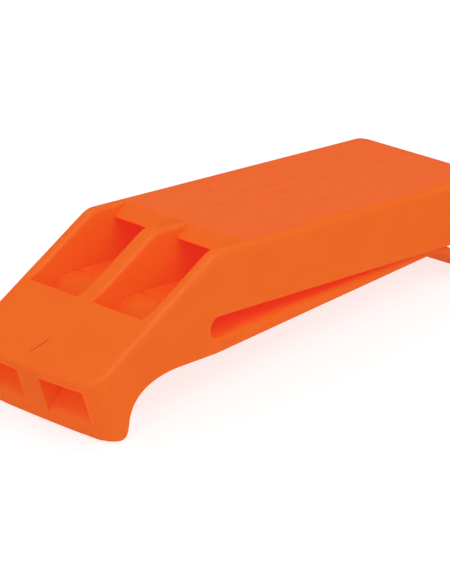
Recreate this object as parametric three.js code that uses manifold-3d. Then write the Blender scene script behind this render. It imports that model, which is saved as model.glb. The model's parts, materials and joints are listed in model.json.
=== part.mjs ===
// A flat pealess rescue whistle with two chambers and a moulded spring clip.
//
// Sizes are in millimetres. Every outline is drawn in the whistle's own axes: +X runs from the mouthpiece
// to the rear, +Y to the whistle's left, +Z up, and the origin is where the front slope would meet the flat
// top. The finished group is then turned so that the whistle stands on its bite lip and on its clip's tip.

import * as THREE from 'three';
import { mergeVertices } from 'three/addons/utils/BufferGeometryUtils.js';
import Module from 'manifold-3d';

// Body
const WIDTH = 20;
const REAR_X = 48.1;
const BODY_THICKNESS = 7.7;
const SIDE_WALL = 1.5;
const SEPTUM = 2.2;
const ROOF = 1.5;
const FLOOR = 1.2;
const REAR_CORNER_RADIUS = 2;
const TOP_EDGE_RADIUS = 0.8;

// Front slope, windows and labium, the edge that the air jet strikes
const SLOPE_DEG = 32.2;
const SLOPE_CORNER_REACH = 0.5;
const WINDOW_FRONT_X = -9.55;
const LABIUM = { x: 3.3, z: -1.35 };
const RAMP_TOP_X = 5;

// Mouthpiece and bite lip
const MOUTH_TOP_X = -18.55;
const MOUTH_LEAN = 0.45;
const MOUTH_CROWN = 0.2;
const MOUTH_CORNER_REACH = 2.7;
const WINDWAY_ROOF = 1.1;
const WINDWAY_WIDTH = 6.4;
const WINDWAY_FLOOR = { x: -15.9, z: -16.2 };
const LIP_BOTTOM = { x: -13.6, z: -18.7 };
const LIP_FRONT_Z = -17.9;
const LIP_REAR = { x: -12.25, z: -16.6 };
const CHIN_CURVE = { x: -12, z: -13.2 };
const CHIN_END = { x: -6.5, z: -12.2 };

// Fipple blocks
const CREST = { x: -4.4, z: -6.25 };
const CREST_RADIUS = 0.9;
const BLOCK_FRONT_X = -10.6;
const BLOCK_TOE = { x: -8.9, z: -11.5 };
const BLOCK_HEEL = { x: -1.9, z: -10.95 };

// Chamber plugs: the longer one makes the shorter chamber and the higher note
const PLUG_RECESS = 0.4;
const PLUG_WALL = 1;
const PLUG_LENGTH = { left: 21, right: 17 };

// Clip
const SLOT_RADIUS = 1.25;
const ROOT_X = 1.03;
const ROOT_BOTTOM_Z = -12;
const PINCH = { x: 42.3, gap: 0.3, thickness: 0.95 };
const TIP = { x: 49, z: -12.93 };
const TIP_THICKNESS = 1.3;
const CLIP_INSET = 1.7;
const TIP_CORNER_RADIUS = 2;
const TIP_CROWN_RADIUS = 52;

// Clearance between separate pieces, and how far a cutting shape runs past what it cuts
const GAP = 0.3;
const CUT = 5;

const HALF_WIDTH = WIDTH / 2;
const SLOPE_ANGLE = THREE.MathUtils.degToRad(SLOPE_DEG);
const SLOPE = Math.tan(SLOPE_ANGLE);
const CHANNEL_WIDTH = (WIDTH - SEPTUM - 2 * SIDE_WALL) / 2;
const CHANNEL_Y = (SEPTUM + CHANNEL_WIDTH) / 2;
const CHAMBER_FLOOR_Z = FLOOR - BODY_THICKNESS;
const SLOT_MID_Z = -BODY_THICKNESS - SLOT_RADIUS;
const SLOT_BOTTOM_Z = SLOT_MID_Z - SLOT_RADIUS;
const MOUTH_TOP_Z = SLOPE * MOUTH_TOP_X;
const WINDWAY_SLOPE = (CREST.z - WINDWAY_FLOOR.z) / (CREST.x - WINDWAY_FLOOR.x);

const slopeZ = (x) => SLOPE * x;
const windwayRoofZ = (x) => slopeZ(x) - WINDWAY_ROOF / Math.cos(SLOPE_ANGLE);
const windwayFloorZ = (x) => WINDWAY_FLOOR.z + WINDWAY_SLOPE * (x - WINDWAY_FLOOR.x);
const mouthX = (z) => MOUTH_TOP_X + MOUTH_LEAN * (MOUTH_TOP_Z - z);
const at = (x, y, r = 0) => ({ x, y, r });

const SHELL_ORANGE = 0xec6820;
const INSERT_ORANGE = 0xe45c1e;

const wasm = await Module();
wasm.setup();

// A closed outline from its corners. A corner with a radius is rounded off.
function outline(corners) {
  const shape = new THREE.Shape();
  corners.forEach((corner, i) => {
    const here = new THREE.Vector2(corner.x, corner.y);
    const before = corners[(i + corners.length - 1) % corners.length];
    const after = corners[(i + 1) % corners.length];
    const back = new THREE.Vector2(before.x, before.y).sub(here).normalize();
    const ahead = new THREE.Vector2(after.x, after.y).sub(here).normalize();
    const reach = corner.r / Math.tan(Math.acos(back.dot(ahead)) / 2);
    const start = here.clone().addScaledVector(back, reach);
    const end = here.clone().addScaledVector(ahead, reach);
    if (i === 0) shape.moveTo(start.x, start.y);
    else shape.lineTo(start.x, start.y);
    if (corner.r) shape.quadraticCurveTo(here.x, here.y, end.x, end.y);
  });
  shape.closePath();
  return shape;
}

// A closed geometry as a solid that can be joined and cut.
function solid(geometry) {
  const bare = geometry.clone();
  bare.deleteAttribute('normal');
  bare.deleteAttribute('uv');
  const merged = mergeVertices(bare, 1e-4);
  return new wasm.Manifold(new wasm.Mesh({
    numProp: 3,
    vertProperties: new Float32Array(merged.attributes.position.array),
    triVerts: new Uint32Array(merged.index.array),
  }));
}

function extrusion(shape, depth) {
  return new THREE.ExtrudeGeometry(shape, { depth, bevelEnabled: false, curveSegments: 8 });
}

// An outline in X and Z, made solid across Y.
function acrossY(shape, lowY, highY) {
  return solid(extrusion(shape, highY - lowY).rotateX(Math.PI / 2).translate(0, highY, 0));
}

// An outline in Y and Z, made solid along X.
function alongX(shape, lowX, highX) {
  const turned = new THREE.Matrix4().makeBasis(
    new THREE.Vector3(0, 1, 0), new THREE.Vector3(0, 0, 1), new THREE.Vector3(1, 0, 0));
  return solid(extrusion(shape, highX - lowX).applyMatrix4(turned).translate(lowX, 0, 0));
}

// An outline in X and Y, made solid up Z. With a lean, it slides back as it goes down from topZ.
function upZ(shape, lowZ, highZ, lean = 0, topZ = 0) {
  const sheared = new THREE.Matrix4().set(1, 0, -lean, lean * topZ, 0, 1, 0, 0, 0, 0, 1, 0, 0, 0, 0, 1);
  return solid(extrusion(shape, highZ - lowZ).translate(0, 0, lowZ).applyMatrix4(sheared));
}

function namedMesh(name, manifold, color) {
  const { vertProperties, triVerts } = manifold.getMesh();
  const geometry = new THREE.BufferGeometry();
  geometry.setAttribute('position', new THREE.BufferAttribute(new Float32Array(vertProperties), 3));
  geometry.setIndex(new THREE.BufferAttribute(new Uint32Array(triVerts), 1));
  geometry.computeVertexNormals();
  const material = new THREE.MeshStandardMaterial({ color, roughness: 0.45, metalness: 0 });
  const mesh = new THREE.Mesh(geometry, material);
  mesh.name = name;
  return mesh;
}

// Side view of the outer moulding: slope, top, rear, underside, end of the clip slot, chin and bite lip.
function bodyProfile() {
  const shape = new THREE.Shape();
  shape.moveTo(-SLOPE_CORNER_REACH, slopeZ(-SLOPE_CORNER_REACH));
  shape.quadraticCurveTo(0, 0, SLOPE_CORNER_REACH, 0);
  shape.lineTo(REAR_X - TOP_EDGE_RADIUS, 0);
  shape.quadraticCurveTo(REAR_X, 0, REAR_X, -TOP_EDGE_RADIUS);
  shape.lineTo(REAR_X, -BODY_THICKNESS);
  shape.lineTo(ROOT_X, -BODY_THICKNESS);
  shape.absarc(ROOT_X, SLOT_MID_Z, SLOT_RADIUS, Math.PI / 2, 1.5 * Math.PI, false);
  shape.lineTo(ROOT_X, ROOT_BOTTOM_Z);
  shape.lineTo(CHIN_END.x, CHIN_END.z);
  shape.quadraticCurveTo(CHIN_CURVE.x, CHIN_CURVE.z, LIP_REAR.x, LIP_REAR.z);
  shape.quadraticCurveTo(LIP_REAR.x, LIP_BOTTOM.z, LIP_BOTTOM.x, LIP_BOTTOM.z);
  shape.quadraticCurveTo(mouthX(LIP_BOTTOM.z), LIP_BOTTOM.z, mouthX(LIP_FRONT_Z), LIP_FRONT_Z);
  shape.lineTo(MOUTH_TOP_X, MOUTH_TOP_Z);
  shape.closePath();
  return shape;
}

// Plan view of the mouthpiece end: a gently crowned front edge between two rounded corners.
function mouthPlan() {
  const cornerX = MOUTH_TOP_X + MOUTH_CROWN;
  const cornerY = HALF_WIDTH - MOUTH_CORNER_REACH;
  const shape = new THREE.Shape();
  shape.moveTo(REAR_X + CUT, -HALF_WIDTH);
  shape.lineTo(REAR_X + CUT, HALF_WIDTH);
  shape.lineTo(cornerX + MOUTH_CORNER_REACH, HALF_WIDTH);
  shape.quadraticCurveTo(cornerX + MOUTH_CROWN / 3, HALF_WIDTH, cornerX - MOUTH_CROWN / 3, cornerY);
  shape.quadraticCurveTo(MOUTH_TOP_X, cornerY / 2, MOUTH_TOP_X, 0);
  shape.quadraticCurveTo(MOUTH_TOP_X, -cornerY / 2, cornerX - MOUTH_CROWN / 3, -cornerY);
  shape.quadraticCurveTo(cornerX + MOUTH_CROWN / 3, -HALF_WIDTH, cornerX + MOUTH_CORNER_REACH, -HALF_WIDTH);
  shape.closePath();
  return shape;
}

// Plan view of the whole whistle with its two rounded rear corners.
function rearPlan() {
  return outline([
    at(MOUTH_TOP_X - CUT, -HALF_WIDTH),
    at(REAR_X, -HALF_WIDTH, REAR_CORNER_RADIUS),
    at(REAR_X, HALF_WIDTH, REAR_CORNER_RADIUS),
    at(MOUTH_TOP_X - CUT, HALF_WIDTH),
  ]);
}

// Rear view of the flat part, with its two long top edges rounded.
function crossSection() {
  return outline([
    at(-HALF_WIDTH, LIP_BOTTOM.z - CUT),
    at(HALF_WIDTH, LIP_BOTTOM.z - CUT),
    at(HALF_WIDTH, 0, TOP_EDGE_RADIUS),
    at(-HALF_WIDTH, 0, TOP_EDGE_RADIUS),
  ]);
}

// Side view of a windway, from in front of the mouth to just past the front of the fipple block.
function windwayProfile() {
  const frontX = MOUTH_TOP_X - CUT;
  const rearX = BLOCK_FRONT_X + GAP;
  return outline([
    at(frontX, windwayRoofZ(frontX)),
    at(frontX, windwayFloorZ(frontX)),
    at(BLOCK_FRONT_X, windwayFloorZ(BLOCK_FRONT_X)),
    at(rearX, windwayFloorZ(BLOCK_FRONT_X)),
    at(rearX, windwayRoofZ(rearX)),
  ]);
}

// Side view of the hollow behind one window: pocket for the fipple block, chamber, labium and window.
function chamberProfile() {
  const roofEndX = WINDOW_FRONT_X + WINDWAY_ROOF * Math.sin(SLOPE_ANGLE);
  return outline([
    at(BLOCK_FRONT_X, windwayRoofZ(BLOCK_FRONT_X)),
    at(BLOCK_FRONT_X, windwayFloorZ(BLOCK_FRONT_X)),
    at(BLOCK_TOE.x, BLOCK_TOE.z),
    at(BLOCK_HEEL.x, BLOCK_HEEL.z),
    at(BLOCK_HEEL.x, CHAMBER_FLOOR_Z),
    at(REAR_X + CUT, CHAMBER_FLOOR_Z),
    at(REAR_X + CUT, -ROOF),
    at(LABIUM.x, -ROOF),
    at(LABIUM.x, LABIUM.z),
    at(RAMP_TOP_X, 0),
    at(RAMP_TOP_X, CUT),
    at(WINDOW_FRONT_X, CUT),
    at(WINDOW_FRONT_X, slopeZ(WINDOW_FRONT_X)),
    at(roofEndX, windwayRoofZ(roofEndX)),
  ]);
}

function whistleBody() {
  const blank = acrossY(bodyProfile(), -HALF_WIDTH, HALF_WIDTH)
    .intersect(upZ(mouthPlan(), LIP_BOTTOM.z - CUT, CUT, MOUTH_LEAN, MOUTH_TOP_Z))
    .intersect(upZ(rearPlan(), LIP_BOTTOM.z - CUT, CUT))
    .intersect(alongX(crossSection(), MOUTH_TOP_X - CUT, REAR_X + CUT));
  const hollows = [-CHANNEL_Y, CHANNEL_Y].map((midY) =>
    acrossY(chamberProfile(), midY - CHANNEL_WIDTH / 2, midY + CHANNEL_WIDTH / 2)
      .add(acrossY(windwayProfile(), midY - WINDWAY_WIDTH / 2, midY + WINDWAY_WIDTH / 2)));
  return blank.subtract(hollows[0]).subtract(hollows[1]);
}

// A wedge whose long face is the windway floor and whose rounded crest ends the chamber floor.
function fippleBlock(midY) {
  const frontX = BLOCK_FRONT_X + GAP;
  const rearX = BLOCK_HEEL.x - GAP;
  const shape = outline([
    at(frontX, windwayFloorZ(frontX)),
    at(BLOCK_TOE.x + GAP, BLOCK_TOE.z + GAP),
    at(rearX, BLOCK_HEEL.z + GAP),
    at(rearX, CHAMBER_FLOOR_Z),
    at(CREST.x, CREST.z, CREST_RADIUS),
  ]);
  const halfY = CHANNEL_WIDTH / 2 - GAP;
  return acrossY(shape, midY - halfY, midY + halfY);
}

// A hollow plug that opens to the rear. Its closed front end sets the length of the chamber.
function chamberPlug(midY, length) {
  const rearX = REAR_X - PLUG_RECESS;
  const halfY = CHANNEL_WIDTH / 2 - GAP;
  const side = outline([
    at(rearX - length, CHAMBER_FLOOR_Z + GAP),
    at(rearX, CHAMBER_FLOOR_Z + GAP),
    at(rearX, -ROOF - GAP),
    at(rearX - length, -ROOF - GAP),
  ]);
  const hollow = outline([
    at(rearX - length + PLUG_WALL, CHAMBER_FLOOR_Z + GAP + PLUG_WALL),
    at(rearX + CUT, CHAMBER_FLOOR_Z + GAP + PLUG_WALL),
    at(rearX + CUT, -ROOF - GAP - PLUG_WALL),
    at(rearX - length + PLUG_WALL, -ROOF - GAP - PLUG_WALL),
  ]);
  return acrossY(side, midY - halfY, midY + halfY)
    .subtract(acrossY(hollow, midY - halfY + PLUG_WALL, midY + halfY - PLUG_WALL));
}

// Side view of the clip: a tapering tongue that nips the body at its pinch, then turns down to its tip.
function clipProfile() {
  const pinchTopZ = -BODY_THICKNESS - PINCH.gap;
  const rootX = ROOT_X + GAP;
  const flare = new THREE.Vector2(TIP.x - PINCH.x, TIP.z - (pinchTopZ - PINCH.thickness)).normalize();
  const tipTop = { x: TIP.x - flare.y * TIP_THICKNESS, z: TIP.z + flare.x * TIP_THICKNESS };
  return outline([
    at(rootX, SLOT_BOTTOM_Z),
    at(rootX, ROOT_BOTTOM_Z),
    at(PINCH.x, pinchTopZ - PINCH.thickness, PINCH.thickness * 3),
    at(TIP.x, TIP.z, TIP_THICKNESS / 3),
    at(tipTop.x, tipTop.z, TIP_THICKNESS / 3),
    at(PINCH.x + PINCH.thickness / 2, pinchTopZ, PINCH.thickness * 4),
  ]);
}

// Plan view of the clip, narrowing from the full width at its root to the tip.
function clipPlan() {
  const endX = TIP.x + TIP_THICKNESS;
  return outline([
    at(ROOT_X, -HALF_WIDTH),
    at(PINCH.x, CLIP_INSET - HALF_WIDTH),
    at(endX, CLIP_INSET - HALF_WIDTH, TIP_CORNER_RADIUS),
    at(endX, HALF_WIDTH - CLIP_INSET, TIP_CORNER_RADIUS),
    at(PINCH.x, HALF_WIDTH - CLIP_INSET),
    at(ROOT_X, HALF_WIDTH),
  ]);
}

// Rear view of the tip's lower edge, a shallow arc that is lowest in the middle.
function tipCrown() {
  const shape = new THREE.Shape();
  const halfAngle = Math.asin(HALF_WIDTH / TIP_CROWN_RADIUS);
  const lowest = -Math.PI / 2;
  const centreZ = TIP.z + TIP_CROWN_RADIUS;
  shape.absarc(0, centreZ, TIP_CROWN_RADIUS, lowest - halfAngle, lowest + halfAngle, false);
  shape.lineTo(HALF_WIDTH, CUT);
  shape.lineTo(-HALF_WIDTH, CUT);
  shape.closePath();
  return shape;
}

function clipArm() {
  return acrossY(clipProfile(), -HALF_WIDTH, HALF_WIDTH)
    .intersect(upZ(clipPlan(), TIP.z - CUT, CUT))
    .intersect(alongX(tipCrown(), ROOT_X, TIP.x + CUT));
}

// The whistle in its own axes
const standing = new THREE.Group();
standing.add(
  namedMesh('whistle_body', whistleBody(), SHELL_ORANGE),
  namedMesh('clip_arm', clipArm(), SHELL_ORANGE),
  namedMesh('fipple_block_left', fippleBlock(CHANNEL_Y), INSERT_ORANGE),
  namedMesh('fipple_block_right', fippleBlock(-CHANNEL_Y), INSERT_ORANGE),
  namedMesh('chamber_plug_left', chamberPlug(CHANNEL_Y, PLUG_LENGTH.left), INSERT_ORANGE),
  namedMesh('chamber_plug_right', chamberPlug(-CHANNEL_Y, PLUG_LENGTH.right), INSERT_ORANGE),
);

// Turned to stand on its bite lip and clip tip, with the middle of its footprint at the origin
standing.rotation.y = Math.atan2(TIP.z - LIP_BOTTOM.z, TIP.x - LIP_BOTTOM.x);
const whistle = new THREE.Group();
whistle.add(standing);
whistle.updateMatrixWorld(true);
const bounds = new THREE.Box3().setFromObject(whistle, true);
standing.position.set(-(bounds.min.x + bounds.max.x) / 2, 0, -bounds.min.z);
whistle.updateMatrixWorld(true);

export default whistle;
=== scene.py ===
import json
import math

import bmesh
import bpy
import numpy as np
from mathutils import Matrix, Vector


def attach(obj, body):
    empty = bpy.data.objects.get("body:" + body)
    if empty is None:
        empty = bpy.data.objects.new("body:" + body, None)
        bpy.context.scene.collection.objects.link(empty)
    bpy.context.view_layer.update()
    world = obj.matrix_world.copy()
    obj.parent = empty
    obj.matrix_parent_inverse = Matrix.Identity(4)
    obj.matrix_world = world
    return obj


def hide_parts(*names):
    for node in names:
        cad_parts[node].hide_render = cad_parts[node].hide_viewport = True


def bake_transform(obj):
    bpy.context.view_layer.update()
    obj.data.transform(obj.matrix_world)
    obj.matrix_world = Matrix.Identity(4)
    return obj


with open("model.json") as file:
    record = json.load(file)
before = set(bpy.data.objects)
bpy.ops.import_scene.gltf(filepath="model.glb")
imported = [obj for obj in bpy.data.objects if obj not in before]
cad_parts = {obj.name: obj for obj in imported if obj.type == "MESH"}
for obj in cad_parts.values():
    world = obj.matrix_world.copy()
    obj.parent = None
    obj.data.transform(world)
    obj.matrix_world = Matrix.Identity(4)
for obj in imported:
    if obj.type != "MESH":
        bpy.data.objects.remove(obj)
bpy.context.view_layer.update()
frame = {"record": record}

# Shapes are drawn in millimetres in the whistle's own axes. X runs from the mouthpiece to the rear, Y to the
# left and Z up from the flat top, and the origin is where the front slope would meet the top. The record's
# top_face mount says how the whistle stands in the frame.
METRE = 1000
TOP_FACE = next(m for m in frame["record"]["mounts"] if m["name"] == "top_face")
TOP_FACE_X = 26.5
PITCH = math.atan2(TOP_FACE["axis"][0], TOP_FACE["axis"][2])
STANDING = Matrix.Rotation(PITCH, 4, "Y")
TURNED_TOP_FACE = STANDING @ Vector((TOP_FACE_X, 0, 0))
STANDING = Matrix.Translation(Vector(TOP_FACE["pos_m"]) * METRE - TURNED_TOP_FACE) @ STANDING
TO_FRAME = Matrix.Scale(1 / METRE, 4) @ STANDING

# Body
HALF_WIDTH = 10.0
REAR_X = 48.1
UNDERSIDE_Z = -7.7
SIDE_WALL = 1.5
SEPTUM = 2.2
ROOF_Z = -1.5
FLOOR_Z = -6.5
SLOPE = math.tan(math.radians(32.2))
TOP_EDGE_R = 0.8
LOW_EDGE_R = 0.2
CHIN_EDGE_R = 0.35
REAR_CORNER_R = 2.0
SLOPE_CORNER = 0.9
REAR_EDGE = 0.5
WINDOW_FRONT_X = -9.55
WINDOW_EDGE_R = 0.55
RIM_TAPER = 1.2
RIM_SHARE_OF_RAMP = 0.9
RIM_LEAST_R = 0.004
RIM_RISE = 0.01
RIM_LIFT = 0.25
LABIUM = (3.3, -1.35)
RAMP_TOP_X = 5.0

# Mouthpiece
MOUTH_TOP = (-18.55, -18.55 * SLOPE)
MOUTH_LEAN = 0.45
MOUTH_CROWN = 0.2
MOUTH_CORNER_R = 2.7
MOUTH_TOP_EDGE = 0.9
MOUTH_FLOOR_EDGE = 1.0
LIP_EDGE = 0.8
WINDWAY_ROOF = 1.1
WINDWAY_WIDTH = 6.4
WINDWAY_FLOOR = (-15.9, -16.2)
LIP_BOTTOM = (-13.6, -18.7)
LIP_REAR = (-12.25, -16.6)
CHIN_CURVE = (-11.9, -12.7)
CHIN_END = (-5.2, -12.2)

# Hairline on the slope
KNIT_LINE = ((-17.3, 0.9), (-14.9, -0.1))
KNIT_WIDTH = 0.1

# Fipple blocks and chamber plugs
CREST = (-4.4, -6.25)
BLOCK_FRONT_X = -10.6
BLOCK_TOE = (-8.9, -11.5)
BLOCK_HEEL = (-1.9, -10.95)
CREST_REACH = 1.6
CREST_CROWN = 0.2
FIT = 0.02
PLUG_LENGTHS = {1: 21.0, -1: 17.0}
PLUG_SETBACK = 0.4
PLUG_WALL = 1.0
BLOCK_BEVEL = 0.08
PLUG_BEVEL = 0.15

# Clip
SLOT_R = 1.25
ROOT_X = 1.03
ROOT_BOTTOM_Z = -12.0
PINCH_X = 42.3
PINCH_TOP_Z = -7.92
PINCH_THICKNESS = 0.95
TIP = (49.0, -12.93)
TIP_THICKNESS = 1.3
PINCH_BEND = 2.2
CLIP_INSET = 1.7
TIP_CORNER_R = 2.0
TIP_CROWN_R = 52.0
ARM_EDGE_R = 1.2
ARM_EDGE_GROWTH = 7.0
ARM_UPPER_SHARE = 0.62
ARM_LOWER_SHARE = 0.25
FLARE_EDGE_FADE = 3
TIP_EDGE_R = 0.35
EVEN_SHARE = 0.9
TANGENT_STEP = 0.3

CHANNEL_WIDTH = (2 * HALF_WIDTH - SEPTUM - 2 * SIDE_WALL) / 2
CHANNEL_Y = (SEPTUM + CHANNEL_WIDTH) / 2
SLOT_Z = UNDERSIDE_Z - SLOT_R
WINDWAY_SLOPE = (CREST[1] - WINDWAY_FLOOR[1]) / (CREST[0] - WINDWAY_FLOOR[0])

# Cutters reach past the surfaces they open, lap over each other, and stay clear of each other's faces
CUTTER_REACH = 5.0
CUTTER_SHORT_REACH = 2.0
CUTTER_LAP = 0.3
CUTTER_INNER_LAP = 0.05
CUTTER_CLEAR = 0.02
CUTTER_PROUD = 0.03

# Mesh clean-up
WELD = 0.004
SLIVER = 0.002
NEAR = 0.003
NORMAL_WEIGHT = 60
SQUARE_ON = 0.99

# Plastic
# Painted glow: a red emission that keeps the plastic's shaded parts and hollows bright, standing in for light;
# it is weaker along the knit line
PAINTED_GLOW = 0.48
PAINTED_GLOW_ON_KNIT = 0.4
KNIT_COLOUR = (0.12, 0.03, 0.002, 1)
PAINTED_GLOW_COLOUR = (1.0, 0.028, 0.02, 1)
SHELL_TINT = (0.37, 0.124, 0.0005)
INSERT_TINT = (0.36, 0.12, 0.0005)
# Painted sheen: the top panel is coloured lighter and bluer, like the reflection of the light above it
PANEL_SHEEN_BLUE = 0.016
PANEL_MARGIN = 1.0
PANEL_BLUR = 0.4
PANEL_FACING = (0.97, 0.998)
CLOUD_SHARE = 0.55
STREAK_SHARE = 0.45
NOISE_RANGE = (0.3, 0.7)

# Light, floor and camera
AMBIENT = 0.8
SHEEN = 0.06
FLOOR_SIZE = 3.0
FLOOR_GREY = (0.28, 0.28, 0.28, 1)
FLOOR_GLOW = 0.75
AZIMUTH = math.radians(-47.868)
ELEVATION = math.radians(22.679)
CAMERA_BACK = 327.565
CAMERA_RIGHT = 8.189
CAMERA_DOWN = 6.623
SENSOR_WIDTH = 36
LENS = 186.8512


def windway_floor(x):
    return WINDWAY_FLOOR[1] + WINDWAY_SLOPE * (x - WINDWAY_FLOOR[0])


def mouth_x(z):
    return MOUTH_TOP[0] + MOUTH_LEAN * (MOUTH_TOP[1] - z)


def lerp(a, b, n, end=True):
    t = np.linspace(0, 1, n, endpoint=end)[:, None]
    return np.array(a) * (1 - t) + np.array(b) * t


def quad(a, control, b, n, end=True):
    t = np.linspace(0, 1, n, endpoint=end)[:, None]
    return np.array(a) * (1 - t) ** 2 + 2 * np.array(control) * t * (1 - t) + np.array(b) * t ** 2


def rounding(distance, radius):
    """How far a surface falls back at this distance from the side face, for an edge of this radius."""
    if distance >= radius:
        return 0.0
    return radius - math.sqrt(max(radius ** 2 - (radius - distance) ** 2, 0))


def front_setback(y):
    """Plan view of the mouthpiece: a gently crowned front between two rounded corners."""
    corner = HALF_WIDTH - MOUTH_CORNER_R
    crown = MOUTH_CROWN * min(abs(y) / corner, 1) ** 2
    return crown + rounding(HALF_WIDTH - abs(y), MOUTH_CORNER_R)


def resample(points, n):
    steps = np.linalg.norm(np.diff(points, axis=0), axis=1)
    along = np.concatenate([[0], np.cumsum(steps)])
    wanted = np.linspace(0, along[-1], n)
    return np.stack([np.interp(wanted, along, points[:, k]) for k in (0, 1)], 1)


def offset(points, distance):
    """Move an open polyline to its left."""
    tangent = np.gradient(points, axis=0)
    tangent /= np.linalg.norm(tangent, axis=1)[:, None]
    return points + distance * np.stack([-tangent[:, 1], tangent[:, 0]], 1)


def body_section(y):
    """The outer side profile at one distance across, as a closed loop of a fixed number of points."""
    inside = HALF_WIDTH - abs(y)
    top = rounding(inside, TOP_EDGE_R)
    low = rounding(inside, LOW_EDGE_R)
    chin = rounding(inside, CHIN_EDGE_R)
    front = front_setback(y)
    rear_x = REAR_X - rounding(inside, REAR_CORNER_R)
    slope_drop = top * math.sqrt(1 + SLOPE ** 2)

    # Front top corner: where the leaning front face meets the lowered slope
    x = (MOUTH_TOP[0] + front + MOUTH_LEAN * (MOUTH_TOP[1] + slope_drop)) / (1 + MOUTH_LEAN * SLOPE)
    front_top = np.array([x, SLOPE * x - slope_drop])
    slope_dir = np.array([1, SLOPE]) / math.hypot(1, SLOPE)
    front_dir = np.array([MOUTH_LEAN, -1]) / math.hypot(MOUTH_LEAN, 1)
    bend = np.array([(slope_drop - top) / SLOPE, -top])
    slope_end = bend - slope_dir * SLOPE_CORNER
    top_start = bend + (SLOPE_CORNER, 0)

    face_end = front_top + front_dir * MOUTH_TOP_EDGE
    slope_start = front_top + slope_dir * MOUTH_TOP_EDGE
    parts = [
        quad(face_end, front_top, slope_start, 6, False),
        lerp(slope_start, slope_end, 16, False),
        quad(slope_end, bend, top_start, 8, False),
        lerp(top_start, (rear_x - REAR_EDGE, -top), 30, False),
        quad((rear_x - REAR_EDGE, -top), (rear_x, -top), (rear_x, -top - REAR_EDGE), 6, False),
    ]
    low_z = UNDERSIDE_Z + low
    parts += [
        lerp((rear_x, -top - REAR_EDGE), (rear_x, low_z + LOW_EDGE_R), 6, False),
        quad((rear_x, low_z + LOW_EDGE_R), (rear_x, low_z), (rear_x - LOW_EDGE_R, low_z), 5, False),
        lerp((rear_x - LOW_EDGE_R, low_z), (ROOT_X, low_z), 24, False),
    ]
    angle = np.linspace(math.pi / 2, 1.5 * math.pi, 17)
    slot_r = SLOT_R + low
    parts.append(np.stack([ROOT_X + slot_r * np.cos(angle), SLOT_Z + slot_r * np.sin(angle)], 1))

    return np.concatenate(parts + under_section(front, chin, front_top, front_dir))


def under_section(front, chin, front_top, front_dir):
    """Chin, lip and the corner at its front, cut off where the front face reaches them."""
    under = np.concatenate([
        lerp((ROOT_X, ROOT_BOTTOM_Z), CHIN_END, 30, False),
        quad(CHIN_END, CHIN_CURVE, LIP_REAR, 60, False),
        quad(LIP_REAR, (LIP_REAR[0], LIP_BOTTOM[1]), LIP_BOTTOM, 30, False),
        lerp(LIP_BOTTOM, (MOUTH_TOP[0], LIP_BOTTOM[1]), 30),
    ])
    under = offset(under, -chin)
    under[0, 0] = ROOT_X
    past = under[:, 0] < mouth_x(under[:, 1]) + front
    cut = int(np.argmax(past))
    gap = under[:, 0] - mouth_x(under[:, 1]) - front
    share = gap[cut - 1] / (gap[cut - 1] - gap[cut])
    corner = under[cut - 1] * (1 - share) + under[cut] * share
    under = np.concatenate([under[:cut], [corner]])
    back = np.linalg.norm(np.diff(under, axis=0), axis=1)[::-1].cumsum()
    reach = int(np.argmax(back > LIP_EDGE))
    start = under[len(under) - 2 - reach]
    under = under[: len(under) - 1 - reach]
    end = corner - front_dir * LIP_EDGE
    return [
        resample(under, 44)[:-1],
        quad(start, corner, end, 8, False),
        lerp(end, front_top + front_dir * MOUTH_TOP_EDGE, 10, False),
    ]


def stations():
    """Distances across the whistle, closer together towards the rounded sides."""
    edge = 3.0
    middle = list(np.linspace(0, HALF_WIDTH - edge, 11))
    curved = [HALF_WIDTH - edge * (1 - math.sin(k * math.pi / 36)) for k in range(1, 19)]
    half = middle + curved
    return [-y for y in reversed(half[1:])] + half


def mesh_object(name, verts, faces):
    mesh = bpy.data.meshes.new(name)
    mesh.from_pydata([tuple(v) for v in verts], [], faces)
    obj = bpy.data.objects.new(name, mesh)
    bpy.context.scene.collection.objects.link(obj)
    return obj


def prism(name, loop, low_y, high_y):
    """A closed side profile made solid across Y."""
    n = len(loop)
    verts = [(x, low_y, z) for x, z in loop] + [(x, high_y, z) for x, z in loop]
    faces = [list(range(n)), list(range(2 * n - 1, n - 1, -1))]
    faces += [[i, i + n, (i + 1) % n + n, (i + 1) % n] for i in range(n)]
    return face_out(mesh_object(name, verts, faces))


def face_out(obj):
    bm = bmesh.new()
    bm.from_mesh(obj.data)
    bmesh.ops.recalc_face_normals(bm, faces=bm.faces)
    bm.to_mesh(obj.data)
    bm.free()
    return obj


def skin(name, loops):
    """A closed skin over loops with the same number of points, with a flat face at each end."""
    n = len(loops[0])
    verts = [tuple(p) for loop in loops for p in loop]
    faces = []
    for j in range(len(loops) - 1):
        for i in range(n):
            k = (i + 1) % n
            faces.append([j * n + i, j * n + k, (j + 1) * n + k, (j + 1) * n + i])
    faces.append(list(range(n - 1, -1, -1)))
    faces.append([(len(loops) - 1) * n + i for i in range(n)])
    return face_out(mesh_object(name, verts, faces))


def apply(obj):
    """Turn an object's modifiers into its mesh."""
    bpy.context.view_layer.update()
    evaluated = obj.evaluated_get(bpy.context.evaluated_depsgraph_get())
    mesh = bpy.data.meshes.new_from_object(evaluated)
    obj.modifiers.clear()
    obj.data = mesh
    return obj


def cut(obj, cutters):
    for cutter in cutters:
        mod = obj.modifiers.new("cut", "BOOLEAN")
        mod.operation = "DIFFERENCE"
        mod.solver = "EXACT"
        mod.object = cutter
    apply(obj)
    for cutter in cutters:
        bpy.data.objects.remove(cutter)
    return obj


def windway_roof(x):
    return SLOPE * x - WINDWAY_ROOF * math.hypot(1, SLOPE)


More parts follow.
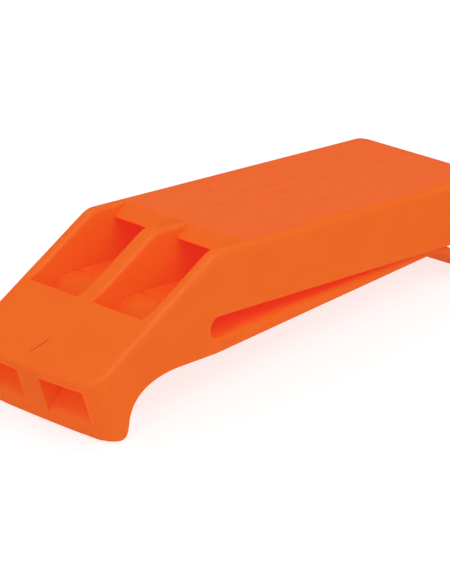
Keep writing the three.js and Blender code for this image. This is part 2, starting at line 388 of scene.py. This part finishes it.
def windway_cutter(side):
    """The windway, with its floor rolled over into the front face at the mouth."""
    front_x = MOUTH_TOP[0] - CUTTER_REACH
    rear_x = BLOCK_FRONT_X + CUTTER_LAP
    inward = np.array([1, WINDWAY_SLOPE]) / math.hypot(1, WINDWAY_SLOPE)
    down = np.array([MOUTH_LEAN, -1]) / math.hypot(MOUTH_LEAN, 1)
    outward = np.array([-1, -MOUTH_LEAN]) / math.hypot(MOUTH_LEAN, 1)
    loops = []
    for y in np.linspace(-WINDWAY_WIDTH / 2, WINDWAY_WIDTH / 2, 25) + side * CHANNEL_Y:
        face_x = MOUTH_TOP[0] + MOUTH_LEAN * MOUTH_TOP[1] + front_setback(y)
        x = face_x - MOUTH_LEAN * (WINDWAY_FLOOR[1] - WINDWAY_SLOPE * WINDWAY_FLOOR[0])
        x /= 1 + MOUTH_LEAN * WINDWAY_SLOPE
        edge = np.array([x, windway_floor(x)])
        low = edge + down * MOUTH_FLOOR_EDGE + outward * CUTTER_PROUD
        line = [
            (front_x, low[1] - CUTTER_SHORT_REACH),
            (front_x, windway_roof(front_x)),
            (rear_x, windway_roof(rear_x)),
            (rear_x, windway_floor(BLOCK_FRONT_X)),
            (BLOCK_FRONT_X, windway_floor(BLOCK_FRONT_X)),
            *quad(edge + inward * MOUTH_FLOOR_EDGE, edge + outward * CUTTER_PROUD / 2, low, 10),
        ]
        loops.append([(px, y, pz) for px, pz in line])
    return skin("cutter", loops)


def chamber_loop():
    """Side view of the hollow behind one window: block pocket, chamber, labium and window."""
    corner = np.array([WINDOW_FRONT_X, SLOPE * WINDOW_FRONT_X])
    up_slope = np.array([1, SLOPE]) / math.hypot(1, SLOPE)
    into_wall = np.array([up_slope[1], -up_slope[0]])
    rim_end = corner - up_slope * WINDOW_EDGE_R + (0, RIM_RISE)
    return [
        (BLOCK_FRONT_X, windway_roof(BLOCK_FRONT_X)),
        tuple(corner + into_wall * WINDWAY_ROOF),
        *quad(corner + into_wall * WINDOW_EDGE_R, corner, rim_end, 8),
        (rim_end[0], CUTTER_REACH),
        (RAMP_TOP_X, CUTTER_REACH),
        (RAMP_TOP_X, 0),
        LABIUM,
        (LABIUM[0], ROOF_Z),
        (REAR_X + CUTTER_REACH, ROOF_Z),
        (REAR_X + CUTTER_REACH, FLOOR_Z),
        (BLOCK_HEEL[0], FLOOR_Z),
        BLOCK_HEEL,
        BLOCK_TOE,
        (BLOCK_FRONT_X, windway_floor(BLOCK_FRONT_X)),
    ]


def rim_radius(x):
    """Radius of a window's side edges, which dies out at the front corners and up the ramp."""
    front = (x - WINDOW_FRONT_X) / RIM_TAPER
    ramp_depth = -LABIUM[1] * (RAMP_TOP_X - x) / (RAMP_TOP_X - LABIUM[0])
    return WINDOW_EDGE_R * max(min(front, RIM_SHARE_OF_RAMP * ramp_depth, 1), 0) + RIM_LEAST_R


def rim_flare(mid, side):
    """A cutter that rounds off one side edge of a window, as quarter circles along the slope and the top."""
    corner = quad((-SLOPE_CORNER, -SLOPE * SLOPE_CORNER), (0, 0), (SLOPE_CORNER, 0), 9)
    start_x = WINDOW_FRONT_X + CUTTER_CLEAR
    line = np.concatenate([
        lerp((start_x, SLOPE * start_x), corner[0], 24, False),
        corner[:-1],
        lerp(corner[-1], (RAMP_TOP_X - CUTTER_CLEAR, 0), 24),
    ])
    edge = CHANNEL_WIDTH / 2
    inner = edge - CUTTER_INNER_LAP
    quarter = np.linspace(0, math.pi / 2, 9)
    loops = []
    for x, z in line:
        r = rim_radius(x)
        drop = r * (math.hypot(1, SLOPE) if x < 0 else 1)
        arc = [(edge + r * (1 - math.cos(a)), z - drop * (1 - math.sin(a))) for a in quarter]
        ring = [(inner, z - drop)] + arc
        ring += [(edge + r + CUTTER_LAP, z + RIM_LIFT), (inner, z + CUTTER_SHORT_REACH)]
        loops.append([(x, mid + side * y, height) for y, height in ring])
    return skin("cutter", loops)


def finish_mesh(obj, bevel=0.1, segments=2, angle=35, hidden_x=None):
    """Weld, soften the sharp edges by a hair, and shade flat faces flat.

    Where the clip joins the body, both have a flat face at hidden_x that nobody sees. Its edges stay sharp,
    so the two surfaces run into each other.
    """
    root_top = UNDERSIDE_Z - 2 * SLOT_R
    bm = bmesh.new()
    bm.from_mesh(obj.data)
    bmesh.ops.remove_doubles(bm, verts=bm.verts, dist=WELD)
    bmesh.ops.dissolve_degenerate(bm, edges=bm.edges, dist=SLIVER)
    weight = bm.edges.layers.float.new("bevel_weight_edge")
    for edge in bm.edges:
        at_joint = hidden_x is not None and all(
            abs(v.co.x - hidden_x) < NEAR and v.co.z < root_top + NEAR for v in edge.verts)
        if len(edge.link_faces) != 2:
            continue
        if edge.calc_face_angle(0) > math.radians(angle):
            if at_joint:
                edge.smooth = False
            else:
                edge[weight] = 1
    bm.to_mesh(obj.data)
    bm.free()
    if bevel:
        mod = obj.modifiers.new("bevel", "BEVEL")
        mod.width = bevel
        mod.segments = segments
        mod.limit_method = "WEIGHT"
        mod.use_clamp_overlap = True
    apply(obj)
    frame_large_faces(obj)
    mod = obj.modifiers.new("normals", "WEIGHTED_NORMAL")
    mod.keep_sharp = True
    mod.weight = NORMAL_WEIGHT
    for face in obj.data.polygons:
        face.use_smooth = True
    apply(obj)
    return obj


def frame_large_faces(obj, area=6.0, margin=0.05):
    """Give each large sloping face a narrow border, so that smooth shading at its edges stays there."""
    bm = bmesh.new()
    bm.from_mesh(obj.data)
    bm.normal_update()
    large = [f for f in bm.faces if f.calc_area() > area and max(map(abs, f.normal)) < SQUARE_ON]
    bmesh.ops.inset_individual(bm, faces=large, thickness=margin, use_even_offset=True)
    bm.to_mesh(obj.data)
    bm.free()


def place(obj, body):
    obj.data.transform(TO_FRAME)
    obj.data.update()
    if body:
        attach(obj, body)
    return obj


def whistle_body():
    loops = []
    for y in stations():
        loops.append([(x, y, z) for x, z in body_section(y)])
    body = skin("shell", loops)
    cutters = []
    for side in (-1, 1):
        mid = side * CHANNEL_Y
        cutters.append(prism("cutter", chamber_loop(), mid - CHANNEL_WIDTH / 2, mid + CHANNEL_WIDTH / 2))
        cutters.append(windway_cutter(side))
        cutters += [rim_flare(mid, -1), rim_flare(mid, 1)]
    cut(body, cutters)
    return finish_mesh(body, hidden_x=ROOT_X)


def clip_centre_line():
    """Middle of the clip's thickness in side view, from its root past the pinch to its tip."""
    pinch = np.array([PINCH_X, PINCH_TOP_Z - PINCH_THICKNESS / 2])
    flare = np.array([TIP[0] - PINCH_X, TIP[1] - (PINCH_TOP_Z - PINCH_THICKNESS)])
    flare /= np.linalg.norm(flare)
    root = np.array([ROOT_X, (ROOT_BOTTOM_Z + UNDERSIDE_Z - 2 * SLOT_R) / 2])
    tip = np.array(TIP) + np.array([-flare[1], flare[0]]) * TIP_THICKNESS / 2
    lead = (pinch - root) / np.linalg.norm(pinch - root)
    return np.concatenate([
        lerp(root, pinch - lead * PINCH_BEND, 60, False),
        quad(pinch - lead * PINCH_BEND, pinch, pinch + flare * PINCH_BEND, 20, False),
        lerp(pinch + flare * PINCH_BEND, tip, 30),
    ])


def clip_arm():
    """A tongue that narrows and thins from its root, comes closest to the body at its pinch and turns down."""
    line = clip_centre_line()
    length = np.concatenate([[0], np.linalg.norm(np.diff(line, axis=0), axis=1).cumsum()])
    root_thick = UNDERSIDE_Z - 2 * SLOT_R - ROOT_BOTTOM_Z
    even = np.linspace(0, EVEN_SHARE, 70)
    closer = EVEN_SHARE + (1 - EVEN_SHARE) * np.sin(np.linspace(0, math.pi / 2, 25))
    share_of_way = np.concatenate([even, closer[1:]])
    loops = []
    for station in stations():
        inside = HALF_WIDTH - abs(station)
        full = length[-1] - rounding(inside, TIP_CORNER_R) - abs(station) ** 2 / (2 * TIP_CROWN_R)
        upper, lower = [], []
        for share in share_of_way:
            s = full * share
            here = np.array([np.interp(s, length, line[:, k]) for k in (0, 1)])
            after = min(s + TANGENT_STEP, length[-1])
            before = max(s - TANGENT_STEP, 0)
            ahead = np.array([np.interp(after, length, line[:, k]) for k in (0, 1)])
            behind = np.array([np.interp(before, length, line[:, k]) for k in (0, 1)])
            along = (ahead - behind) / np.linalg.norm(ahead - behind)
            normal = np.array([-along[1], along[0]])
            if share == 0:
                normal = np.array([0.0, 1.0])
            out = min((here[0] - ROOT_X) / (PINCH_X - ROOT_X), 1)
            past = max((here[0] - PINCH_X) / (TIP[0] - PINCH_X), 0)
            thick = root_thick + (PINCH_THICKNESS - root_thick) * out
            thick += (TIP_THICKNESS - PINCH_THICKNESS) * past
            grown = min(s / ARM_EDGE_GROWTH, 1)
            blend = grown ** 2 * (3 - 2 * grown)
            upper_blend = blend * (1 - min(past * FLARE_EDGE_FADE, 1))
            upper_r = LOW_EDGE_R + (min(ARM_EDGE_R, thick * ARM_UPPER_SHARE) - LOW_EDGE_R) * upper_blend
            lower_r = CHIN_EDGE_R + (min(CHIN_EDGE_R, thick * ARM_LOWER_SHARE) - CHIN_EDGE_R) * blend
            nose = rounding(full - s, TIP_EDGE_R)
            y = station * (HALF_WIDTH - CLIP_INSET * out) / HALF_WIDTH
            up = here + normal * (thick / 2 - rounding(inside, upper_r) - nose)
            low = here - normal * (thick / 2 - rounding(inside, lower_r) - nose)
            upper.append((up[0], y, up[1]))
            lower.append((low[0], y, low[1]))
        loops.append(upper + lower[::-1])
    return finish_mesh(skin("clip", loops), bevel=0, hidden_x=ROOT_X)


def fipple_block(name, side):
    """A wedge that carries the windway floor up to a rounded crest, which is a little lower at its sides."""
    half = CHANNEL_WIDTH / 2 - FIT
    front_x = BLOCK_FRONT_X + FIT
    rear_x = BLOCK_HEEL[0] - FIT
    crest = np.array(CREST)
    ramp_dir = np.array([1, WINDWAY_SLOPE]) / math.hypot(1, WINDWAY_SLOPE)
    back_dir = np.array([rear_x, FLOOR_Z]) - crest
    back_dir /= np.linalg.norm(back_dir)
    loops = []
    for share in np.linspace(-1, 1, 21):
        drop = CREST_CROWN * share ** 2
        top = crest - (0, drop)
        turn = quad(top + back_dir * CREST_REACH, top, top - ramp_dir * CREST_REACH, 9)
        front = lerp(turn[-1], (front_x, windway_floor(front_x)), 8)
        line = [
            (BLOCK_TOE[0] + FIT, BLOCK_TOE[1] + FIT),
            (rear_x, BLOCK_HEEL[1] + FIT),
            (rear_x, FLOOR_Z - drop),
            *turn,
            *front[1:],
        ]
        loops.append([(x, side * CHANNEL_Y + share * half, z) for x, z in line])
    return finish_mesh(skin(name, loops), bevel=BLOCK_BEVEL)


def chamber_plug(name, side):
    """A cup that closes one chamber, with its open end at the rear."""
    rear = REAR_X - PLUG_SETBACK
    front = rear - PLUG_LENGTHS[side]
    low, high = FLOOR_Z + FIT, ROOF_Z - FIT
    half = CHANNEL_WIDTH / 2 - FIT
    mid = side * CHANNEL_Y
    outer = [(front, low), (rear, low), (rear, high), (front, high)]
    inner = [
        (front + PLUG_WALL, FLOOR_Z + PLUG_WALL),
        (rear + CUTTER_REACH, FLOOR_Z + PLUG_WALL),
        (rear + CUTTER_REACH, ROOF_Z - PLUG_WALL),
        (front + PLUG_WALL, ROOF_Z - PLUG_WALL),
    ]
    plug = prism(name, outer, mid - half, mid + half)
    cut(plug, [prism("cutter", inner, mid - half + PLUG_WALL, mid + half - PLUG_WALL)])
    return finish_mesh(plug, bevel=PLUG_BEVEL, segments=3)


# Materials

def node(tree, kind, **inputs):
    made = tree.nodes.new(kind)
    for key, value in inputs.items():
        made.inputs[key.replace("_", " ")].default_value = value
    return made


def math_node(tree, operation, a, b=None):
    made = tree.nodes.new("ShaderNodeMath")
    made.operation = operation
    for slot, value in zip(made.inputs, (a, b)):
        if value is None:
            continue
        if isinstance(value, (int, float)):
            slot.default_value = value
        else:
            tree.links.new(value, slot)
    return made.outputs[0]


def ramp(tree, source, low, high, to_low, to_high):
    made = tree.nodes.new("ShaderNodeMapRange")
    tree.links.new(source, made.inputs["Value"])
    for name, value in (("From Min", low), ("From Max", high), ("To Min", to_low), ("To Max", to_high)):
        made.inputs[name].default_value = value
    return made.outputs["Result"]


def noise(tree, coords, scale, stretch=(1, 1, 1), detail=3.0, rough=0.5):
    mapping = tree.nodes.new("ShaderNodeMapping")
    mapping.inputs["Scale"].default_value = stretch
    tree.links.new(coords, mapping.inputs["Vector"])
    made = node(tree, "ShaderNodeTexNoise", Scale=scale, Detail=detail, Roughness=rough)
    tree.links.new(mapping.outputs["Vector"], made.inputs["Vector"])
    return made.outputs["Fac"]


def distance_along(tree, coords, origin, direction):
    """How far the shaded point is from an origin, measured in one direction."""
    from_origin = tree.nodes.new("ShaderNodeVectorMath")
    from_origin.operation = "SUBTRACT"
    tree.links.new(coords, from_origin.inputs[0])
    from_origin.inputs[1].default_value = origin
    along = tree.nodes.new("ShaderNodeVectorMath")
    along.operation = "DOT_PRODUCT"
    tree.links.new(from_origin.outputs["Vector"], along.inputs[0])
    along.inputs[1].default_value = direction
    return along.outputs["Value"]


def mix_colours(tree, factor, first, second):
    """Blend two colours, each given as a constant or as an output."""
    made = tree.nodes.new("ShaderNodeMix")
    made.data_type = "RGBA"
    tree.links.new(factor, made.inputs["Factor"])
    first_slot, second_slot = [slot for slot in made.inputs if slot.type == "RGBA"]
    for slot, colour in ((first_slot, first), (second_slot, second)):
        if isinstance(colour, tuple):
            slot.default_value = colour
        else:
            tree.links.new(colour, slot)
    return next(slot for slot in made.outputs if slot.type == "RGBA")


def panel_mask(tree, coords, facing):
    """One on the grained panel behind the windows, where the colour also gets a painted sheen, and zero
    elsewhere.
    """
    along = distance_along(tree, coords, TOP_FACE["pos_m"], STANDING.to_3x3() @ Vector((1, 0, 0)))
    front = (RAMP_TOP_X - TOP_FACE_X) / METRE
    rear = (REAR_X - PANEL_MARGIN - TOP_FACE_X) / METRE
    side = (HALF_WIDTH - PANEL_MARGIN) / METRE
    blur = PANEL_BLUR / METRE
    across = tree.nodes.new("ShaderNodeSeparateXYZ")
    tree.links.new(coords, across.inputs["Vector"])
    from_middle = math_node(tree, "ABSOLUTE", across.outputs["Y"])
    mask = ramp(tree, facing, *PANEL_FACING, 0.0, 1.0)
    for value, low, high in ((along, front, front + blur / 2), (along, rear + blur, rear),
                             (from_middle, side + blur, side)):
        mask = math_node(tree, "MULTIPLY", mask, ramp(tree, value, low, high, 0.0, 1.0))
    return mask


def knit_mask(tree, coords):
    """One along the hairline on the slope where two flows of plastic met in the mould."""
    start, end = [TO_FRAME @ Vector((x, y, SLOPE * x)) for x, y in KNIT_LINE]
    length = (end - start).length
    direction = (end - start) / length
    sideways = direction.cross(TO_FRAME.to_3x3() @ Vector((-SLOPE, 0, 1))).normalized()
    along = distance_along(tree, coords, start, direction)
    across = math_node(tree, "ABSOLUTE", distance_along(tree, coords, start, sideways))
    line = ramp(tree, across, 0, KNIT_WIDTH / METRE, 1.0, 0.0)
    line = math_node(tree, "MULTIPLY", line, ramp(tree, along, 0, length / 3, 0.0, 1.0))
    return math_node(tree, "MULTIPLY", line, ramp(tree, along, length, length * 0.9, 0.0, 1.0))


def orange_plastic(name, tint, grain_height):
    """Fluorescent orange moulding: a little translucent, faintly mottled, with a finely grained top panel. A
    painted red glow keeps its shade bright, and a painted sheen colours the top panel lighter and bluer.
    """
    mat = bpy.data.materials.new(name)
    mat.use_nodes = True
    tree = mat.node_tree
    links = tree.links
    bsdf = tree.nodes["Principled BSDF"]
    bsdf.inputs["Subsurface Weight"].default_value = 0.5
    bsdf.inputs["Subsurface Radius"].default_value = (1.0, 0.3, 0.1)
    bsdf.inputs["Subsurface Scale"].default_value = 0.0014
    # Painted glow: red emission lights the plastic's shade
    bsdf.inputs["Emission Color"].default_value = PAINTED_GLOW_COLOUR
    bsdf.inputs["Specular IOR Level"].default_value = 0.22

    coords = tree.nodes.new("ShaderNodeTexCoord").outputs["Object"]
    geometry = tree.nodes.new("ShaderNodeNewGeometry")
    facing = tree.nodes.new("ShaderNodeVectorMath")
    facing.operation = "DOT_PRODUCT"
    facing.inputs[1].default_value = TOP_FACE["axis"]
    links.new(geometry.outputs["Normal"], facing.inputs[0])
    top = panel_mask(tree, coords, facing.outputs["Value"])

    clouds = noise(tree, coords, scale=140, detail=4)
    streaks = noise(tree, coords, scale=900, stretch=(0.25, 1, 1), detail=3)
    grain = noise(tree, coords, scale=3200, detail=2)
    orange_peel = noise(tree, coords, scale=700, detail=2)

    shade = math_node(tree, "ADD", math_node(tree, "MULTIPLY", clouds, CLOUD_SHARE),
                      math_node(tree, "MULTIPLY", streaks, STREAK_SHARE))
    darker = (tint[0] * 0.97, tint[1] * 0.94, tint[2], 1)
    lighter = (tint[0] * 1.03, tint[1] * 1.06, tint[2], 1)
    mottled = mix_colours(tree, ramp(tree, shade, *NOISE_RANGE, 0.0, 1.0), darker, lighter)
    # Painted sheen: the top panel's colour is lightened and blued, streaked along the grain
    sheen_streaks = math_node(tree, "MULTIPLY", top, ramp(tree, streaks, *NOISE_RANGE, 0.6, 1.0))
    sheen_panel = mix_colours(tree, sheen_streaks, mottled, (tint[0] * 1.12, tint[1] * 1.07, PANEL_SHEEN_BLUE, 1))
    knit = knit_mask(tree, coords)
    links.new(mix_colours(tree, knit, sheen_panel, KNIT_COLOUR), bsdf.inputs["Base Color"])
    # Strength of the painted glow, weaker along the knit line
    links.new(ramp(tree, knit, 0.0, 1.0, PAINTED_GLOW, PAINTED_GLOW * PAINTED_GLOW_ON_KNIT), bsdf.inputs["Emission Strength"])

    rough = math_node(tree, "ADD", ramp(tree, streaks, *NOISE_RANGE, 0.36, 0.48),
                      math_node(tree, "MULTIPLY", top, 0.06))
    links.new(rough, bsdf.inputs["Roughness"])

    height = math_node(tree, "ADD",
                       math_node(tree, "MULTIPLY", math_node(tree, "MULTIPLY", grain, top), grain_height),
                       math_node(tree, "MULTIPLY", orange_peel, 0.25))
    bump = node(tree, "ShaderNodeBump", Strength=0.35, Distance=0.00006)
    links.new(height, bump.inputs["Height"])
    links.new(bump.outputs["Normal"], bsdf.inputs["Normal"])
    return mat


SHELL_PLASTIC = orange_plastic("shell_plastic", SHELL_TINT, 1.0)
INSERT_PLASTIC = orange_plastic("insert_plastic", INSERT_TINT, 0.0)


def dress(obj, slot):
    obj.data.materials.clear()
    obj.data.materials.append(SHELL_PLASTIC if slot == "shell" else INSERT_PLASTIC)


shell = place(whistle_body(), "whistle")
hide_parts("whistle_body")
dress(shell, "shell")

clip = place(clip_arm(), None)
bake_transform(clip)
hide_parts("clip_arm")
dress(clip, "shell")

for side, word in ((1, "left"), (-1, "right")):
    block = place(fipple_block("fipple_" + word, side), "whistle")
    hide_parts("fipple_block_" + word)
    dress(block, "insert")
    plug = place(chamber_plug("plug_" + word, side), "whistle")
    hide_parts("chamber_plug_" + word)
    dress(plug, "insert")

# Floor, light and camera

corners = [(x * FLOOR_SIZE, y * FLOOR_SIZE, 0) for x, y in ((-1, -1), (1, -1), (1, 1), (-1, 1))]
floor = mesh_object("floor", corners, [[0, 1, 2, 3]])
white = bpy.data.materials.new("white_floor")
white.use_nodes = True
paper = white.node_tree.nodes["Principled BSDF"]
paper.inputs["Base Color"].default_value = FLOOR_GREY
paper.inputs["Roughness"].default_value = 0.9
paper.inputs["Specular IOR Level"].default_value = 0.0
paper.inputs["Emission Color"].default_value = (1, 1, 1, 1)
paper.inputs["Emission Strength"].default_value = FLOOR_GLOW
floor.visible_diffuse = False
floor.visible_glossy = False
floor.data.materials.append(white)

world = bpy.data.worlds.new("studio")
bpy.context.scene.world = world
world.use_nodes = True
background = world.node_tree.nodes["Background"]
background.inputs["Color"].default_value = (1, 1, 1, 1)
ray = world.node_tree.nodes.new("ShaderNodeLightPath")
lit = ramp(world.node_tree, ray.outputs["Is Glossy Ray"], 0.0, 1.0, AMBIENT, SHEEN)
world.node_tree.links.new(math_node(world.node_tree, "MAXIMUM", lit, ray.outputs["Is Camera Ray"]),
                          background.inputs["Strength"])
bpy.context.scene.view_settings.view_transform = "Standard"


def softbox(name, location, size, energy, target=(0, 0, 0.01)):
    light = bpy.data.lights.new(name, "AREA")
    light.shape = "RECTANGLE"
    light.size, light.size_y = size
    light.energy = energy
    obj = bpy.data.objects.new(name, light)
    obj.location = location
    obj.rotation_euler = (Vector(location) - Vector(target)).to_track_quat("Z", "Y").to_euler()
    bpy.context.scene.collection.objects.link(obj)


softbox("key", location=(-0.07, -0.42, 0.42), size=(0.4, 0.4), energy=1.2)
softbox("front", location=(-0.45, -0.12, 0.18), size=(0.25, 0.25), energy=0.42)

level = Vector((math.sin(AZIMUTH), -math.cos(AZIMUTH), 0))
back = level * math.cos(ELEVATION) + Vector((0, 0, math.sin(ELEVATION)))
right = Vector((math.cos(AZIMUTH), math.sin(AZIMUTH), 0))
up = back.cross(right)
from_origin = back * CAMERA_BACK + right * CAMERA_RIGHT - up * CAMERA_DOWN
camera_data = bpy.data.cameras.new("camera")
camera_data.sensor_width = SENSOR_WIDTH
camera_data.lens = LENS
camera_data.clip_start = 0.01
camera = bpy.data.objects.new("camera", camera_data)
basis = Matrix((right, up, back)).transposed().to_4x4()
camera.matrix_world = Matrix.Translation((STANDING.translation + from_origin) / METRE) @ basis
bpy.context.scene.collection.objects.link(camera)
bpy.context.scene.camera = camera

bpy.context.view_layer.update()
